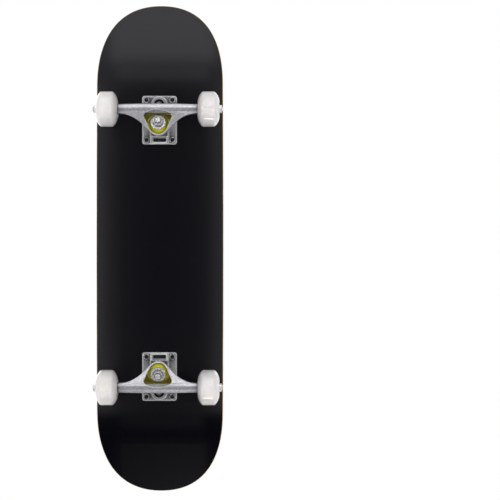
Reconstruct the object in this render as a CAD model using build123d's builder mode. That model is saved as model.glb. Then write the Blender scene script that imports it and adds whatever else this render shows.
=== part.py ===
from build123d import *
import os
from math import asin, atan2, cos, degrees, hypot, radians, sin, tan

# A complete skateboard: a kicked maple deck with grip tape, two kingpin trucks, and four
# wheels that each turn on two sealed ball bearings. Millimetres, nose towards +X, +Z up,
# standing on its wheels with the origin on the floor under the middle of the deck.

# Deck
deck_length = 787.4
deck_width = 203.2
deck_thickness = 11.0
deck_side_bow = 0.8
deck_end_length = 130.0
deck_tip_fullness = 72.5
deck_side_fullness = 71.5
deck_edge_round = 3.0
concave_flat_width = 124.0
concave_radius = 130.0
kick_length = 148.7
kick_radius = 187.0
kick_angle = 21.5
grip_thickness = 1.0
wall_slack = 0.01
rim_steepness = 0.9

# Deck bolts and nuts
bolt_spacing_along = 63.5
bolt_spacing_across = 41.28
bolt_diameter = 4.8
bolt_hole_clearance = 0.25
bolt_head_diameter = 9.2
bolt_head_angle = 82.0
bolt_socket_flats = 3.2
bolt_socket_depth = 2.4
bolt_tail = 3.0
bolt_lead = 0.5
deck_nut_flats = 9.5
deck_nut_height = 5.0

# Trucks
truck_setback = 189.7
axle_drop = 53.0
axle_reach = 13.3
axle_diameter = 8.0
hanger_length = 132.6
baseplate_length = 77.0
baseplate_width = 55.0
baseplate_thickness = 5.0
baseplate_corner = 4.0
baseplate_lip_width = 1.6
baseplate_lip_height = 1.0

# Pivot: the ball of the hanger's nose turns in a cup in the baseplate
pivot_reach = 26.1
pivot_drop = 11.5
pivot_lean = 66.0
pivot_ball_diameter = 9.0
pivot_clearance = 0.1
pivot_cup_diameter = 16.4
pivot_cup_floor = 1.4
pivot_cup_mouth = 3.4
pivot_boss_diameter = 24.6
pivot_cup_flare = 1.6
pivot_nose_length = 39.0
pivot_nose_base = 17.0

# Kingpin: stations are counted along it from the underside of the deck
kingpin_inset = 18.5
kingpin_lean = 16.0
kingpin_diameter = 9.5
kingpin_head_flats = 14.3
kingpin_head_height = 5.0
kingpin_head_depth = 2.3
kingpin_seat = 13.0
kingpin_tail = 2.5
kingpin_lead = 0.8
cup_washer_thickness = 1.5
cup_washer_rim = 1.2
boardside_washer_diameter = 25.0
roadside_washer_diameter = 23.5
boardside_bushing_height = 13.5
boardside_bushing_bulge = 1.0
roadside_bushing_height = 11.0
roadside_bushing_diameter = 28.4
roadside_bushing_bulge = 1.4
ring_thickness = 5.0
ring_bore = 15.2
kingpin_nut_flats = 14.3
kingpin_nut_height = 8.0

# Hanger casting
beam_end_diameter = 15.8
beam_middle_diameter = 17.4
beam_collar_length = 9.0
beam_middle_length = 50.0
yoke_apex_radius = 17.2
yoke_wall = 2.2
yoke_flare = 33.0
yoke_apex_turn = 47.0
rim_apex_lip = 0.9
rim_sink = 0.15
rim_edge = 1.0
bowl_corner_radius = 5.0
bowl_corner_spread = 17.0
bowl_corner_reach = 2.6
bowl_corner_turn = 45.0
bowl_back_reach = 12.4
bowl_axle_wall = 0.9
wing_setback = 1.3
wing_tip = 6.3
wing_beam_fullness = 27.0
wing_yoke_fullness = 16.0
wing_depth = 4.5
web_thickness = 9.0
web_top_width = 13.0
web_foot_width = 50.0
web_top = 15.0

# Baseplate casting
baseplate_block_width = 29.0
baseplate_window_width = 22.0
baseplate_window_length = 7.5
baseplate_window_inset = 0.5
baseplate_window_floor = 2.0
baseplate_window_corner = 1.0
baseplate_block_round = 1.5
baseplate_edge_round = 0.6

# Wheels and bearings
wheel_diameter = 55.0
wheel_width = 33.8
tread_width = 16.0
wheel_lip_diameter = 26.4
wheel_lip_step = 0.6
wheel_stop_height = 1.4
shoulder_fullness = 3.5
side_fullness = 6.0
side_fall = 0.6
bearing_bore = 8.0
bearing_diameter = 22.0
bearing_width = 7.0
bearing_spacer_length = 10.0
bearing_spacer_diameter = 10.4
ball_diameter = 3.97
ball_count = 7
ball_clearance = 0.1
race_shoulder = 1.3
cage_thickness = 1.2
cage_width = 5.2
shield_thickness = 0.4
shield_inset = 0.2
speed_washer_thickness = 1.0
speed_washer_diameter = 11.4
axle_nut_flats = 12.7
axle_nut_height = 7.7
axle_tail = 1.5
axle_lead = 0.8

# Fits
seat_gap = 0.05
nut_corner_share = 1.06
nut_taper = 3.0
nut_insert_wall = 0.8
nut_insert_height = 1.8

# Worked out from the above
kick_start = deck_length / 2 - kick_length
truck_spacing = deck_length - 2 * truck_setback
wing_reach = hanger_length / 2 - wing_setback
deck_drop = wheel_diameter / 2 + axle_drop
deck_top = deck_drop + deck_thickness
grip_top = deck_top + grip_thickness
bearing_pair = 2 * bearing_width + bearing_spacer_length
wheel_place = hanger_length / 2 + speed_washer_thickness + bearing_pair / 2
axle_nut_face = wheel_place + bearing_pair / 2 + speed_washer_thickness
axle_length = 2 * (axle_nut_face + axle_nut_height + axle_tail)
ball_circle = (bearing_bore + bearing_diameter) / 2

# Planes of one truck, whose own origin is on the deck's underside, with +X outwards
kingpin_side = Plane(
    origin=(-kingpin_inset, 0, 0),
    x_dir=(cos(radians(kingpin_lean)), 0, sin(radians(kingpin_lean))),
    z_dir=(0, 1, 0),
)
kingpin_axis = Axis(kingpin_side.origin, kingpin_side.y_dir)
kingpin_plane = Plane(origin=kingpin_side.origin, x_dir=(0, 1, 0), z_dir=kingpin_side.y_dir)
pivot_side = Plane(
    origin=(pivot_reach, 0, -pivot_drop),
    x_dir=(sin(radians(pivot_lean)), 0, -cos(radians(pivot_lean))),
    z_dir=(0, 1, 0),
)
pivot_axis = Axis(pivot_side.origin, pivot_side.y_dir)
axle_side = Plane(origin=(axle_reach, 0, -axle_drop), x_dir=(1, 0, 0), z_dir=(0, 0, 1))
axle_axis = Axis(axle_side.origin, (0, 1, 0))

# Stations along the kingpin
boardside_bushing_start = kingpin_seat + cup_washer_thickness
ring_start = boardside_bushing_start + boardside_bushing_height
roadside_bushing_start = ring_start + ring_thickness
roadside_washer_start = roadside_bushing_start + roadside_bushing_height
kingpin_nut_start = roadside_washer_start + cup_washer_thickness
kingpin_end = kingpin_nut_start + kingpin_nut_height + kingpin_tail

truck_places = {
    "front": Location((truck_spacing / 2, 0, deck_drop)),
    "rear": Location((-truck_spacing / 2, 0, deck_drop), (0, 0, 180)),
}
pieces = {}


def kicked_board(lower, upper, inset):
    """A layer of the board between two heights above its underside: a concave section
    carried along the flat and up both kicks, cut to the plan drawn in by the inset."""
    section_plane = Plane(origin=(0, 0, deck_drop), x_dir=(0, 1, 0), z_dir=(1, 0, 0))
    bend = Axis((kick_start, 0, deck_drop + kick_radius), (0, -1, 0))
    flat = concave_flat_width / 2
    rise_angle = degrees(atan2(deck_width / 2, concave_radius))
    end = deck_length / 2 - inset
    side = deck_width / 2 - inset
    shoulder = side - deck_side_bow
    shoulder_x = end - deck_end_length
    with BuildPart() as board:
        with BuildSketch(section_plane):
            with BuildLine():
                low_flat = Line((0, lower), (flat, lower))
                low_rise = JernArc(low_flat @ 1, (1, 0), concave_radius - lower, rise_angle)
                high_flat = Line((0, upper), (flat, upper))
                high_rise = JernArc(high_flat @ 1, (1, 0), concave_radius - upper, rise_angle)
                Line(low_rise @ 1, high_rise @ 1)
                mirror(about=Plane.YZ)
            make_face()
        extrude(amount=kick_start)
        flat_end = board.faces().sort_by(Axis.X)[-1]
        revolve(flat_end, axis=bend, revolution_arc=kick_angle)
        bend_end = board.faces().sort_by(Axis.X)[-1]
        extrude(bend_end, amount=deck_length / 2)
        mirror(about=Plane.YZ)
        with BuildSketch():
            with BuildLine():
                TangentArc((0, side), (shoulder_x, shoulder), tangent=(1, 0))
                Bezier(
                    (shoulder_x, shoulder),
                    (shoulder_x + deck_side_fullness, shoulder),
                    (end, deck_tip_fullness),
                    (end, 0),
                )
                mirror(about=Plane.XZ)
                mirror(about=Plane.YZ)
            make_face()
        extrude(amount=deck_drop + kick_radius, mode=Mode.INTERSECT)
    return board.part


def bolt_places(height):
    """The eight deck bolts, in two patterns of four."""
    pattern = []
    for x in (-truck_spacing / 2, truck_spacing / 2):
        for dx in (-bolt_spacing_along / 2, bolt_spacing_along / 2):
            for y in (-bolt_spacing_across / 2, bolt_spacing_across / 2):
                pattern.append((x + dx, y, height))
    return pattern


# Deck
with BuildPart() as deck:
    add(kicked_board(0, deck_thickness, 0))
    walls = deck.faces().filter_by(lambda f: abs(f.normal_at().Z) < wall_slack)
    rims = walls.edges().filter_by(lambda e: abs(e.tangent_at(0.5).Z) < rim_steepness)
    fillet(rims, deck_edge_round)
    head_slope = tan(radians(bolt_head_angle / 2))
    sink_radius = bolt_head_diameter / 2 - grip_thickness * head_slope + seat_gap
    with Locations(*bolt_places(deck_top)):
        CounterSinkHole(
            bolt_diameter / 2 + bolt_hole_clearance,
            sink_radius,
            deck_thickness,
            bolt_head_angle,
        )
pieces["deck"] = deck.part

# Grip tape
with BuildPart() as grip_tape:
    add(kicked_board(deck_thickness, deck_thickness + grip_thickness, deck_edge_round))
    with Locations(*bolt_places(grip_top)):
        Hole(bolt_head_diameter / 2 + bolt_hole_clearance, grip_thickness)
pieces["grip_tape"] = grip_tape.part

# Deck bolts: a countersunk head flush with the grip, and a shank through deck and baseplate
bolt_end = deck_drop - baseplate_thickness - deck_nut_height - bolt_tail
with BuildPart() as deck_bolt:
    with BuildSketch(Plane.XZ):
        with BuildLine():
            Polyline(
                (0, grip_top),
                (bolt_head_diameter / 2, grip_top),
                (bolt_diameter / 2, grip_top - (bolt_head_diameter - bolt_diameter) / 2 / head_slope),
                (bolt_diameter / 2, bolt_end),
                (0, bolt_end),
                close=True,
            )
        make_face()
    revolve(axis=Axis.Z)
    chamfer(deck_bolt.edges().sort_by(Axis.Z)[0], bolt_lead)
    with BuildSketch(Plane.XY.offset(grip_top)):
        RegularPolygon(bolt_socket_flats / 2, 6, major_radius=False)
    extrude(amount=-bolt_socket_depth, mode=Mode.SUBTRACT)
with BuildPart() as deck_bolts:
    with Locations(*bolt_places(0)):
        add(deck_bolt.part)
pieces["deck_bolts"] = deck_bolts.part


def lock_nut(plane, flats, height, bore):
    """Hex nut standing on a plane, its far end turned round and bored for the nylon ring."""
    with BuildPart() as nut:
        with BuildSketch(plane):
            RegularPolygon(flats / 2, 6, major_radius=False)
        extrude(amount=height)
        with BuildSketch(plane):
            Circle(flats / 2 * nut_corner_share)
        extrude(amount=height, taper=nut_taper, mode=Mode.INTERSECT)
        with BuildSketch(plane):
            Circle(bore / 2 + seat_gap)
        extrude(amount=height, mode=Mode.SUBTRACT)
        with BuildSketch(plane.offset(height - nut_insert_height)):
            Circle(bore / 2 + nut_insert_wall + seat_gap)
        extrude(amount=nut_insert_height, mode=Mode.SUBTRACT)
    return nut.part


def lock_ring(plane, height, bore):
    """Nylon ring held in the far end of a lock nut."""
    with BuildPart() as ring:
        with BuildSketch(plane.offset(height - nut_insert_height)):
            Circle(bore / 2 + nut_insert_wall)
            Circle(bore / 2 + seat_gap, mode=Mode.SUBTRACT)
        extrude(amount=nut_insert_height - seat_gap)
    return ring.part


nut_plane = Plane(origin=(0, 0, deck_drop - baseplate_thickness), x_dir=(1, 0, 0), z_dir=(0, 0, -1))
with BuildPart() as deck_nuts:
    with Locations(*bolt_places(0)):
        add(lock_nut(nut_plane, deck_nut_flats, deck_nut_height, bolt_diameter))
pieces["deck_nuts"] = deck_nuts.part
with BuildPart() as deck_nut_inserts:
    with Locations(*bolt_places(0)):
        add(lock_ring(nut_plane, deck_nut_height, bolt_diameter))
pieces["deck_nut_inserts"] = deck_nut_inserts.part

truck_pieces = {}

# Baseplate: a lipped plate with a raised kingpin block, a pocket between its ribs,
# and a boss round the pivot cup
block_inner = -baseplate_length / 2 + baseplate_lip_width
seat_radius = boardside_washer_diameter / 2 + seat_gap
seat_middle = kingpin_plane.offset(kingpin_seat).origin
seat_inner = seat_middle - kingpin_side.x_dir * seat_radius
seat_outer = seat_middle + kingpin_side.x_dir * seat_radius
boss_middle = (pivot_side.origin + pivot_side.y_dir * pivot_cup_mouth).X
with BuildPart() as boss:
    with BuildSketch(pivot_side) as boss_side:
        with Locations((0, -pivot_boss_diameter)):
            Rectangle(
                pivot_boss_diameter / 2,
                pivot_boss_diameter + pivot_cup_mouth - seat_gap,
                align=(Align.MIN, Align.MIN),
            )
        fillet(boss_side.vertices().group_by(Axis.Y)[-1].sort_by(Axis.X)[-1], baseplate_edge_round)
    revolve(axis=pivot_axis)
    with BuildSketch(Plane.XY):
        with Locations((boss_middle, 0)):
            Circle(pivot_boss_diameter / 2)
            Rectangle(pivot_boss_diameter, pivot_boss_diameter, align=(Align.MAX, Align.CENTER))
    extrude(amount=-axle_drop, mode=Mode.INTERSECT)

with BuildPart() as baseplate:
    with BuildSketch(Plane.XY):
        RectangleRounded(baseplate_length, baseplate_width, baseplate_corner)
    extrude(amount=-baseplate_thickness)
    with BuildSketch(Plane.XY.offset(-baseplate_thickness)):
        RectangleRounded(baseplate_length, baseplate_width, baseplate_corner)
        RectangleRounded(
            baseplate_length - 2 * baseplate_lip_width,
            baseplate_width - 2 * baseplate_lip_width,
            baseplate_corner - baseplate_lip_width,
            mode=Mode.SUBTRACT,
        )
    extrude(amount=-baseplate_lip_height)
    fillet(baseplate.edges().group_by(Axis.Z)[0], baseplate_edge_round)
    with BuildSketch(Plane.XZ):
        with BuildLine():
            Polyline(
                (block_inner, -baseplate_thickness / 2),
                (block_inner, -baseplate_thickness - baseplate_lip_height),
                (seat_inner.X, seat_inner.Z),
                (seat_outer.X, seat_outer.Z),
                (seat_outer.X, -baseplate_thickness / 2),
                close=True,
            )
        make_face()
    extrude(amount=baseplate_block_width / 2, both=True)
    block_sides = baseplate.edges().filter_by_position(
        Axis.Z, seat_inner.Z, -baseplate_thickness - baseplate_lip_height
    )
    ridges = block_sides.filter_by(lambda e: abs(e.tangent_at(0.5).Y) < wall_slack)
    fillet(ridges.sort_by(Axis.Z)[:2], baseplate_block_round)
    add(boss.part)
    with BuildSketch(pivot_side):
        with Locations((0, -pivot_ball_diameter / 2 - pivot_clearance - pivot_cup_floor)):
            Rectangle(
                pivot_cup_diameter / 2 + seat_gap,
                pivot_boss_diameter,
                align=(Align.MIN, Align.MIN),
            )
    revolve(axis=pivot_axis, mode=Mode.SUBTRACT)
    with BuildSketch(kingpin_plane):
        Circle(kingpin_diameter / 2 + seat_gap)
    extrude(amount=kingpin_seat + boardside_washer_diameter, mode=Mode.SUBTRACT)
    with BuildSketch(kingpin_plane.offset(kingpin_head_depth + kingpin_head_height)):
        RegularPolygon(kingpin_head_flats / 2 + seat_gap, 6, major_radius=False)
    extrude(amount=-kingpin_seat, mode=Mode.SUBTRACT)
    window_reach = seat_inner.X - baseplate_window_length / 2 - baseplate_window_inset
    with BuildSketch(Plane.XY.offset(-baseplate_window_floor)):
        with Locations((window_reach, 0)):
            RectangleRounded(baseplate_window_length, baseplate_window_width, baseplate_window_corner)
    extrude(amount=-axle_drop, mode=Mode.SUBTRACT)
    with Locations(Plane.XY):
        with GridLocations(bolt_spacing_along, bolt_spacing_across, 2, 2):
            Hole(bolt_diameter / 2 + bolt_hole_clearance)
truck_pieces["baseplate"] = baseplate.part

# Pivot cup: a plug with a round socket for the ball and a flared mouth
socket_radius = pivot_ball_diameter / 2 + pivot_clearance
cup_end = -socket_radius - pivot_cup_floor + seat_gap
with BuildPart() as pivot_cup:
    with BuildSketch(pivot_side):
        with BuildLine():
            base = Line((0, cup_end), (pivot_cup_diameter / 2, cup_end))
            wall = Line(base @ 1, (pivot_cup_diameter / 2, pivot_cup_mouth))
            mouth = Line(wall @ 1, (socket_radius + pivot_cup_flare, pivot_cup_mouth))
            flare = Line(mouth @ 1, (socket_radius, 0))
            socket = CenterArc((0, 0), socket_radius, 0, -90)
            Line(socket @ 1, base @ 0)
        make_face()
    revolve(axis=pivot_axis)
truck_pieces["pivot_cup"] = pivot_cup.part

# Kingpin
with BuildPart() as kingpin:
    with BuildSketch(kingpin_plane.offset(kingpin_head_depth)):
        Circle(kingpin_diameter / 2)
    extrude(amount=kingpin_end - kingpin_head_depth)
    chamfer(kingpin.edges().sort_by(Axis.Z)[0], kingpin_lead)
    with BuildSketch(kingpin_plane.offset(kingpin_head_depth)):
        RegularPolygon(kingpin_head_flats / 2, 6, major_radius=False)
    extrude(amount=kingpin_head_height - seat_gap)
truck_pieces["kingpin"] = kingpin.part


def cup_washer(diameter, start, rim_up):
    """Pressed washer whose turned rim holds the end of a bushing."""
    outer = diameter / 2
    rim = cup_washer_rim if rim_up else -cup_washer_rim
    low = start + cup_washer_thickness if rim_up else start
    with BuildPart() as washer:
        with BuildSketch(kingpin_side):
            with Locations((kingpin_diameter / 2 + seat_gap, start)):
                Rectangle(
                    outer - kingpin_diameter / 2 - seat_gap,
                    cup_washer_thickness,
                    align=(Align.MIN, Align.MIN),
                )
            with BuildLine():
                Polyline(
                    (outer - cup_washer_thickness / 2, low),
                    (outer, low),
                    (outer, low + rim),
                    (outer - cup_washer_thickness / 3, low + rim),
                    close=True,
                )
            make_face()
        revolve(axis=kingpin_axis)
    return washer.part


def bushing(start, height, start_radius, end_radius, waist):
    """Urethane bushing on the kingpin, its side drawn in or out by the waist."""
    bore = kingpin_diameter / 2 + seat_gap
    middle = (start_radius + end_radius) / 2 + waist
    with BuildPart() as rubber:
        with BuildSketch(kingpin_side):
            with BuildLine():
                bottom = Line((bore, start), (start_radius, start))
                side = ThreePointArc(
                    bottom @ 1, (middle, start + height / 2), (end_radius, start + height)
                )
                top = Line(side @ 1, (bore, start + height))
                Line(top @ 1, bottom @ 0)
            make_face()
        revolve(axis=kingpin_axis)
    return rubber.part


rim_room = cup_washer_thickness / 2 + cup_washer_thickness
boardside_grip = boardside_washer_diameter / 2 - rim_room
roadside_grip = roadside_washer_diameter / 2 - rim_room
truck_pieces["boardside_washer"] = cup_washer(boardside_washer_diameter, kingpin_seat, True)
truck_pieces["boardside_bushing"] = bushing(
    boardside_bushing_start,
    boardside_bushing_height,
    boardside_grip,
    boardside_grip,
    boardside_bushing_bulge,
)
truck_pieces["roadside_bushing"] = bushing(
    roadside_bushing_start,
    roadside_bushing_height,
    roadside_bushing_diameter / 2,
    roadside_grip,
    roadside_bushing_bulge,
)
truck_pieces["roadside_washer"] = cup_washer(
    roadside_washer_diameter, roadside_washer_start, False
)
kingpin_nut_plane = kingpin_plane.offset(kingpin_nut_start)
truck_pieces["kingpin_nut"] = lock_nut(
    kingpin_nut_plane, kingpin_nut_flats, kingpin_nut_height, kingpin_diameter
)
truck_pieces["kingpin_nut_insert"] = lock_ring(
    kingpin_nut_plane, kingpin_nut_height, kingpin_diameter
)

# Hanger: a yoke that sweeps out into the axle beam, with a deep bowl round the roadside
# bushing, a web and the pivot nose
ring_floor = kingpin_plane.offset(ring_start)
bowl_floor = kingpin_plane.offset(roadside_bushing_start)
bowl_middle = bowl_floor.origin.X
apex_reach = bowl_middle - yoke_apex_radius
apex_rim = bowl_floor.origin.Z - yoke_apex_radius * tan(radians(kingpin_lean)) - rim_apex_lip

# The rim lies in one plane from the lip at the apex to where it dips into the beam
rim_run = axle_reach - apex_reach
rim_rise = axle_drop + apex_rim
rim_stand = beam_end_diameter / 2 - rim_sink
rim_slope = atan2(rim_rise, rim_run) + asin(rim_stand / hypot(rim_run, rim_rise))
rim_touch = axle_reach - rim_stand * sin(rim_slope)
rim_plane = Plane(
    origin=(apex_reach, 0, apex_rim),
    x_dir=(0, 1, 0),
    z_dir=(-sin(rim_slope), 0, -cos(rim_slope)),
)

# The wing's edge sweeps in from the beam and runs on into the round of the apex
apex_turn = radians(yoke_apex_turn)
apex_touch = Vector(bowl_middle, 0) + yoke_apex_radius * Vector(-cos(apex_turn), sin(apex_turn))
apex_heading = Vector(sin(apex_turn), cos(apex_turn))

# The back of the bowl leans over the axle, and leaves a wall of metal round its bore
back_rim = apex_rim - (bowl_back_reach - apex_reach) * tan(rim_slope)
back_run = axle_reach - bowl_back_reach
back_drop = -axle_drop - back_rim
back_wall = axle_diameter / 2 + seat_gap + bowl_axle_wall
back_lean = asin(back_wall / hypot(back_run, back_drop)) - atan2(back_run, back_drop)
back_corner_x = bowl_corner_reach + bowl_corner_radius * cos(radians(bowl_corner_turn))
back_corner_y = bowl_corner_spread + bowl_corner_radius * sin(radians(bowl_corner_turn))
back_plane = Plane(
    origin=(bowl_back_reach, 0, back_rim),
    x_dir=(0, 1, 0),
    z_dir=(-cos(back_lean), 0, -sin(back_lean)),
)


def yoke_cone(radius):
    """Cone about the kingpin that opens from the ring towards the road."""
    with BuildPart() as cone:
        with BuildSketch(kingpin_side):
            with BuildLine():
                Polyline(
                    (0, ring_start),
                    (radius, ring_start),
                    (radius + axle_drop * tan(radians(yoke_flare)), ring_start + axle_drop),
                    (0, ring_start + axle_drop),
                    close=True,
                )
            make_face()
        revolve(axis=kingpin_axis)
    return cone.part


with BuildPart() as bowl_back:
    with BuildSketch(Plane.XY):
        with BuildLine():
            curve = ThreePointArc(
                (back_corner_x, back_corner_y),
                (bowl_back_reach, 0),
                (back_corner_x, -back_corner_y),
            )
            Polyline(curve @ 1, (bowl_middle, 0), curve @ 0)
        make_face()
    extrude(amount=-2 * axle_drop)
    split(bisect_by=back_plane, keep=Keep.TOP)

with BuildPart() as bowl:
    with BuildSketch(Plane.XY):
        with Locations((bowl_middle, 0)):
            Circle(yoke_apex_radius - yoke_wall)
        with Locations((bowl_corner_reach, bowl_corner_spread), (bowl_corner_reach, -bowl_corner_spread)):
            Circle(bowl_corner_radius)
        make_hull()
    extrude(amount=-2 * axle_drop)
    add(bowl_back.part)
    add(yoke_cone(yoke_apex_radius - yoke_wall / cos(radians(yoke_flare))), mode=Mode.INTERSECT)
    split(bisect_by=bowl_floor, keep=Keep.TOP)

# The web is a fin along the nose that flares into the beam
web_front = Plane(origin=pivot_side.origin, x_dir=(0, 1, 0), z_dir=-pivot_side.x_dir)
web_foot = pivot_nose_length + beam_middle_diameter / 4
with BuildPart() as web:
    with BuildSketch(web_front):
        with BuildLine():
            foot = Line((-web_foot_width / 2, web_foot), (web_foot_width / 2, web_foot))
            head = Line((web_top_width / 2, web_top), (-web_top_width / 2, web_top))
            TangentArc(head @ 0, foot @ 1, tangent=(0, 1))
            TangentArc(head @ 1, foot @ 0, tangent=(0, 1))
        make_face()
    extrude(amount=web_thickness / 2, both=True)

# The room that the yoke and wings fill: the cone round the ring, and all beyond the wings' backs
with BuildPart() as room:
    add(yoke_cone(yoke_apex_radius))
    with BuildSketch(Plane.XY.offset(-axle_drop + wing_depth)):
        Rectangle(4 * wing_reach, 4 * wing_reach)
    extrude(amount=-axle_drop)

with BuildPart() as hanger:
    with BuildSketch(Plane.XY):
        with BuildLine():
            spine = Line((rim_touch, 0), (rim_touch, wing_reach))
            tip = Line(spine @ 1, (axle_reach - wing_tip, wing_reach))
            edge = Bezier(
                tip @ 1,
                tip @ 1 - Vector(0, wing_beam_fullness),
                apex_touch + apex_heading * wing_yoke_fullness,
                apex_touch,
            )
            Polyline(edge @ 1, (bowl_middle, 0), spine @ 0)
        make_face()
        mirror(about=Plane.XZ)
        with Locations((bowl_middle, 0)):
            Circle(yoke_apex_radius)
    extrude(amount=-2 * axle_drop)
    add(room.part, mode=Mode.INTERSECT)
    split(bisect_by=rim_plane, keep=Keep.BOTTOM)
    rim_face = hanger.faces().sort_by(Axis(rim_plane.origin, rim_plane.z_dir))[-1]
    fillet(rim_face.edges().filter_by(GeomType.LINE, reverse=True), rim_edge)
    add(web.part)
    with BuildSketch(axle_side):
        with BuildLine():
            Polyline(
                (0, 0),
                (0, hanger_length / 2),
                (beam_end_diameter / 2, hanger_length / 2),
                (beam_end_diameter / 2, hanger_length / 2 - beam_collar_length),
                (beam_middle_diameter / 2, beam_middle_length / 2),
                (beam_middle_diameter / 2, 0),
                close=True,
            )
        make_face()
        mirror(about=Plane.XZ)
    revolve(axis=axle_axis)
    with BuildSketch(pivot_side):
        with BuildLine():
            tip = CenterArc((0, 0), pivot_ball_diameter / 2, -90, 90)
            flank = Line(tip @ 1, (pivot_nose_base / 2, pivot_nose_length))
            foot = Line(flank @ 1, (0, pivot_nose_length))
            Line(foot @ 1, tip @ 0)
        make_face()
    revolve(axis=pivot_axis)
    add(bowl.part, mode=Mode.SUBTRACT)
    with BuildSketch(ring_floor):
        Circle(ring_bore / 2)
    extrude(amount=ring_thickness, mode=Mode.SUBTRACT)
    with BuildSketch(Plane.XZ.offset(-hanger_length)):
        with Locations((axle_reach, -axle_drop)):
            Circle(axle_diameter / 2 + seat_gap)
    extrude(amount=2 * hanger_length, mode=Mode.SUBTRACT)
truck_pieces["hanger"] = hanger.part

# Axle
axle_end = Plane(origin=(axle_reach, -axle_length / 2, -axle_drop), x_dir=(1, 0, 0), z_dir=(0, 1, 0))
with BuildPart() as axle:
    with BuildSketch(axle_end):
        Circle(axle_diameter / 2)
    extrude(amount=axle_length)
    chamfer(axle.edges().filter_by(GeomType.CIRCLE), axle_lead)
truck_pieces["axle"] = axle.part


def side_plane(side, distance):
    """Plane across the axle at a distance out from the truck's middle, facing outwards."""
    return Plane(
        origin=(axle_reach, side * distance, -axle_drop), x_dir=(1, 0, 0), z_dir=(0, side, 0)
    )


def axle_rings(starts, length, outer):
    """Plain rings on the axle that start at the given distances, on both sides."""
    with BuildPart() as rings:
        for side in (-1, 1):
            for start in starts:
                with BuildSketch(side_plane(side, start)):
                    Circle(outer / 2)
                    Circle(axle_diameter / 2 + seat_gap, mode=Mode.SUBTRACT)
                extrude(amount=length)
    return rings.part


washer_starts = (hanger_length / 2, axle_nut_face - speed_washer_thickness)
truck_pieces["speed_washers"] = axle_rings(
    washer_starts, speed_washer_thickness, speed_washer_diameter
)
truck_pieces["bearing_spacers"] = axle_rings(
    (wheel_place - bearing_spacer_length / 2,), bearing_spacer_length, bearing_spacer_diameter
)
with BuildPart() as axle_nuts:
    for side in (-1, 1):
        add(lock_nut(side_plane(side, axle_nut_face), axle_nut_flats, axle_nut_height, axle_diameter))
truck_pieces["axle_nuts"] = axle_nuts.part
with BuildPart() as axle_nut_inserts:
    for side in (-1, 1):
        add(lock_ring(side_plane(side, axle_nut_face), axle_nut_height, axle_diameter))
truck_pieces["axle_nut_inserts"] = axle_nut_inserts.part

# Bearings, drawn round the Y axis about the middle of their own width
groove_radius = ball_diameter / 2 + ball_clearance
half_width = bearing_width / 2
shield_face = half_width - shield_inset
shield_back = shield_face - shield_thickness
inner_land = ball_circle / 2 - race_shoulder
outer_land = ball_circle / 2 + race_shoulder
shield_step = outer_land + shield_thickness
bearing_offset = (bearing_spacer_length + bearing_width) / 2
bearing_middles = (-bearing_offset, bearing_offset)

with BuildPart() as inner_ring:
    with BuildSketch(Plane.XY):
        with Locations((bearing_bore / 2 + seat_gap, 0)):
            Rectangle(
                inner_land - bearing_bore / 2 - seat_gap,
                bearing_width,
                align=(Align.MIN, Align.CENTER),
            )
        with Locations((ball_circle / 2, 0)):
            Circle(groove_radius, mode=Mode.SUBTRACT)
    revolve(axis=Axis.Y)

with BuildPart() as outer_ring:
    with BuildSketch(Plane.XY):
        with Locations((outer_land, 0)):
            Rectangle(bearing_diameter / 2 - outer_land, bearing_width, align=(Align.MIN, Align.CENTER))
        with Locations((ball_circle / 2, 0)):
            Circle(groove_radius, mode=Mode.SUBTRACT)
        with Locations((outer_land, shield_back)):
            Rectangle(shield_thickness, half_width, align=(Align.MIN, Align.MIN), mode=Mode.SUBTRACT)
        with Locations((outer_land, -shield_back)):
            Rectangle(shield_thickness, half_width, align=(Align.MIN, Align.MAX), mode=Mode.SUBTRACT)
    revolve(axis=Axis.Y)

with BuildPart() as shields:
    with BuildSketch(Plane.XY):
        shield_inner = inner_land + 2 * ball_clearance
        for low in (shield_back, -shield_face):
            with Locations((shield_inner, low)):
                Rectangle(
                    shield_step - seat_gap - shield_inner,
                    shield_thickness,
                    align=(Align.MIN, Align.MIN),
                )
    revolve(axis=Axis.Y)

ball_angles = [360 / ball_count * turn for turn in range(ball_count)]
ball_spots = [(cos(radians(a)), sin(radians(a))) for a in ball_angles]
with BuildPart() as balls:
    with Locations(*[(x * ball_circle / 2, 0, z * ball_circle / 2) for x, z in ball_spots]):
        Sphere(ball_diameter / 2)

with BuildPart() as cage:
    with BuildSketch(Plane.XY):
        with Locations((ball_circle / 2, 0)):
            Rectangle(cage_thickness, cage_width)
    revolve(axis=Axis.Y)
    for x, z in ball_spots:
        with BuildSketch(Plane(origin=(0, 0, 0), x_dir=(0, 1, 0), z_dir=(x, 0, z))):
            Circle(groove_radius)
        extrude(amount=bearing_diameter / 2, mode=Mode.SUBTRACT)

with BuildPart() as inner_rings:
    with Locations(
        *[
            (axle_reach, side * wheel_place + middle, -axle_drop)
            for side in (-1, 1)
            for middle in bearing_middles
        ]
    ):
        add(inner_ring.part)
truck_pieces["bearing_inner_rings"] = inner_rings.part

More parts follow.
